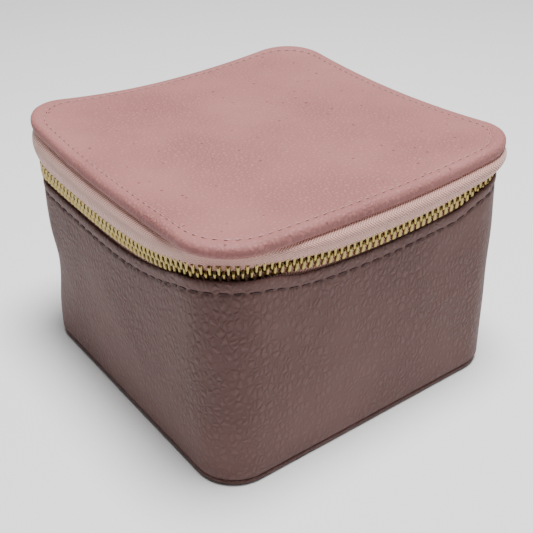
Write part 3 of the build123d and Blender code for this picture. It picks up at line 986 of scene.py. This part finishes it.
frame_rows = [under_lining(frame_half - 0.0001, 0.0139)]
mirror_side = mirror_high.x + 0.00003
for out, height, radius in (
    (frame_half, frame_low.z + 0.0011, 0.014), (frame_half - 0.0003, frame_low.z + 0.0005, 0.0137),
    (frame_half - 0.0010, frame_low.z + 0.0001, 0.013),
    (frame_half - 0.0030, frame_low.z - 0.0003, 0.011),
    (opening_half + 0.0022, frame_low.z - 0.0002, 0.0092),
    (opening_half + 0.0007, frame_low.z + 0.0001, 0.0077),
    (opening_half, frame_low.z + 0.0003, 0.007),
    (opening_half + 0.0001, mirror_low.z - 0.00002, 0.0071),
    (mirror_side, mirror_low.z - 0.00002, 0.008), (mirror_side, mirror_high.z - 0.00002, 0.008),
):
    frame_rows.append(ring(few_places, out, height, out - radius))
frame_rows.append(under_lining(mirror_high.x + 0.0003, 0.0083))
piece("mirror_leather_frame", wrap_mesh(frame_rows), lid_leather, "lid", "leather", "mirror_frame")
stitch_line = frame_half - 0.0018
frame_path = ring(few_places, stitch_line, frame_low.z - 0.00012, stitch_line - 0.0122)
frame_exact = needle_holes(frame_path, lid_stitch_pitch)[1]
sew(
    "frame_stitching", frame_path, (0.0023, 0.0005, 0.0004), frame_exact, pale_thread, "lid",
    0.05, 13,
)

# ---- Tray ---------------------------------------------------------------------------------------
# A lift-out board tray wrapped in suede, with rounded top edges. One long divider parts the ring
# rolls from two open compartments, and a folded ribbon at each end lifts it out.
tray_low, tray_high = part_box("tray_shell")
tray_floor_low, tray_floor_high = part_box("tray_floor_lining")
tray_half = tray_high.x
tray_inner = tray_floor_high.x + 0.0001
edge = 0.0005
tray_corner = 0.0435        # from the middle to the centre of each of its rounder corners
tray_rows = [
    ring(few_places, out, height, tray_corner) for out, height in (
        (0.0460, tray_low.z), (tray_half - 0.0040, tray_low.z), (tray_half - 2 * edge, tray_low.z),
        (tray_half - 0.3 * edge, tray_low.z + 0.3 * edge), (tray_half, tray_low.z + 2 * edge),
        (tray_half, (tray_low.z + tray_high.z) / 2), (tray_half, tray_high.z - 2 * edge),
        (tray_half - 0.2 * edge, tray_high.z - 0.6 * edge),
        (tray_half - edge, tray_high.z - 0.05 * edge),
        (tray_inner + 0.7 * edge, tray_high.z), (tray_inner + 0.1 * edge, tray_high.z - 0.6 * edge),
        (tray_inner, tray_high.z - 2 * edge), (tray_inner, (tray_low.z + tray_high.z) / 2),
        (tray_inner, tray_floor_low.z), (0.0460, tray_floor_low.z),
    )
]
piece(
    "tray_suede_shell", wrap_mesh(tray_rows, closed_profile=False), suede,
    "tray", "lining", "tray_shell",
)
finish_node("tray_floor_lining", suede)
for node in ("tray_divider_long", "tray_divider_cross"):
    soft_piece(node, node + "_suede", 0.0004, suede, "tray", "lining")


def ribbon_finish(name, colour):
    """Grosgrain ribbon: fine ribs across it, with a satin gloss."""
    rib_pitch = 0.0006
    material, tree, shader = new_finish(name, 0.42)
    split = add_node(tree, "ShaderNodeSeparateXYZ", sockets={"Vector": object_place(tree)})
    ribs = calculate(tree, "MULTIPLY", split["Z"], 2 * math.pi / rib_pitch)
    high = stretch(tree, calculate(tree, "SINE", ribs), -1.0)
    shade = two_colours(tree, high, [value * 0.7 for value in colour], colour)
    dress(tree, shader, shade, high, 0.00015)
    return material


pink_ribbon = ribbon_finish("pink_ribbon", (0.62, 0.36, 0.36))


def ribbon_loop(low, high):
    """A ribbon folded over on itself, with a small round loop left open at its top."""
    thin = 0.00032
    middle = (low.y + high.y) / 2
    loop_radius = 0.0011
    foot_gap = 0.00003
    loop_foot = high.z - 0.0050
    leg_out = thin / 2 + foot_gap
    path = [(-leg_out, height) for height in np.linspace(low.z, loop_foot, 10)]
    for turn in np.linspace(0, math.pi, 17):
        spread = loop_radius * math.sin(turn / 2) ** 0.6
        path.append((-spread * math.cos(turn), loop_foot + 0.0046 * math.sin(turn)))
    path += [(leg_out, height) for height in np.linspace(loop_foot, low.z, 10)]
    path = np.array(path)
    along = np.gradient(path, axis=0)
    along /= np.linalg.norm(along, axis=1)[:, None]
    normal = np.stack([-along[:, 1], along[:, 0]], axis=1)
    columns = np.linspace(low.x + 0.0002, high.x - 0.0002, 12)
    rows = []
    for side in (1, -1):
        line = path + side * normal * thin / 2
        for offset, height in (line if side == 1 else line[::-1]):
            rows.append(np.stack([
                columns, np.full_like(columns, middle + offset), np.full_like(columns, height)
            ], axis=1))
    return wrap_mesh(rows, closed_round=False)


for end in ("front", "back"):
    name, node = f"lifting_ribbon_{end}", f"tray_ribbon_{end}"
    piece(name, ribbon_loop(*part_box(node)), pink_ribbon, "tray", "ribbon", node)


# ---- Ring rolls ---------------------------------------------------------------------------------
# Six firm foam rolls covered in the same suede, flat underneath and round on top, pressed side by
# side so that a ring's band holds between two of them.
def roll_mesh(low, high, number):
    """One roll, from rounded end to rounded end. Its back is a little uneven, as stuffed cloth is."""
    width, height = high.y - low.y, high.z - low.z
    middle = (low.y + high.y) / 2
    half = width / 2 - 0.0001
    corner_room = tray_inner - 0.0001 - tray_corner
    sides = 28
    cap = 0.0040                # length of a rounded end
    cap_steps = cap * (1 - np.cos(np.linspace(0.12, math.pi / 2, 8)))
    stations = np.concatenate([
        low.x + cap_steps, np.linspace(low.x + 0.0065, high.x - 0.0065, 14),
        high.x - cap_steps[::-1],
    ])
    rows = []
    for x in stations:
        end = min(x - low.x, high.x - x) / cap
        round_end = math.sqrt(max(1 - (1 - min(end, 1)) ** 2.4, 0.02))
        puff = 1 - 0.012 * (1 + math.sin(x * 420 + number * 1.9))
        beyond = max(abs(x) - tray_corner, 0)
        reach = tray_corner + math.sqrt(max(corner_room ** 2 - beyond ** 2, 0))
        row = []
        for side in range(sides):
            angle = 2 * math.pi * side / sides
            across, up = math.cos(angle), math.sin(angle)
            across = math.copysign(abs(across) ** 0.86, across)
            if up > 0:
                z = low.z + height * 0.46 + height * 0.54 * up * round_end * puff
            else:
                z = low.z + height * 0.46 - height * 0.46 * abs(up) ** 0.35
            y = middle + half * across * (0.55 + 0.45 * round_end)
            row.append((x, min(max(y, -reach), reach), z))
        rows.append(row)
    return wrap_mesh(rows, closed_profile=False)


for number in range(1, 7):
    name, node = f"suede_ring_roll_{number}", f"ring_roll_{number}"
    roll = piece(name, roll_mesh(*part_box(node), number), suede, "tray", "lining", node)
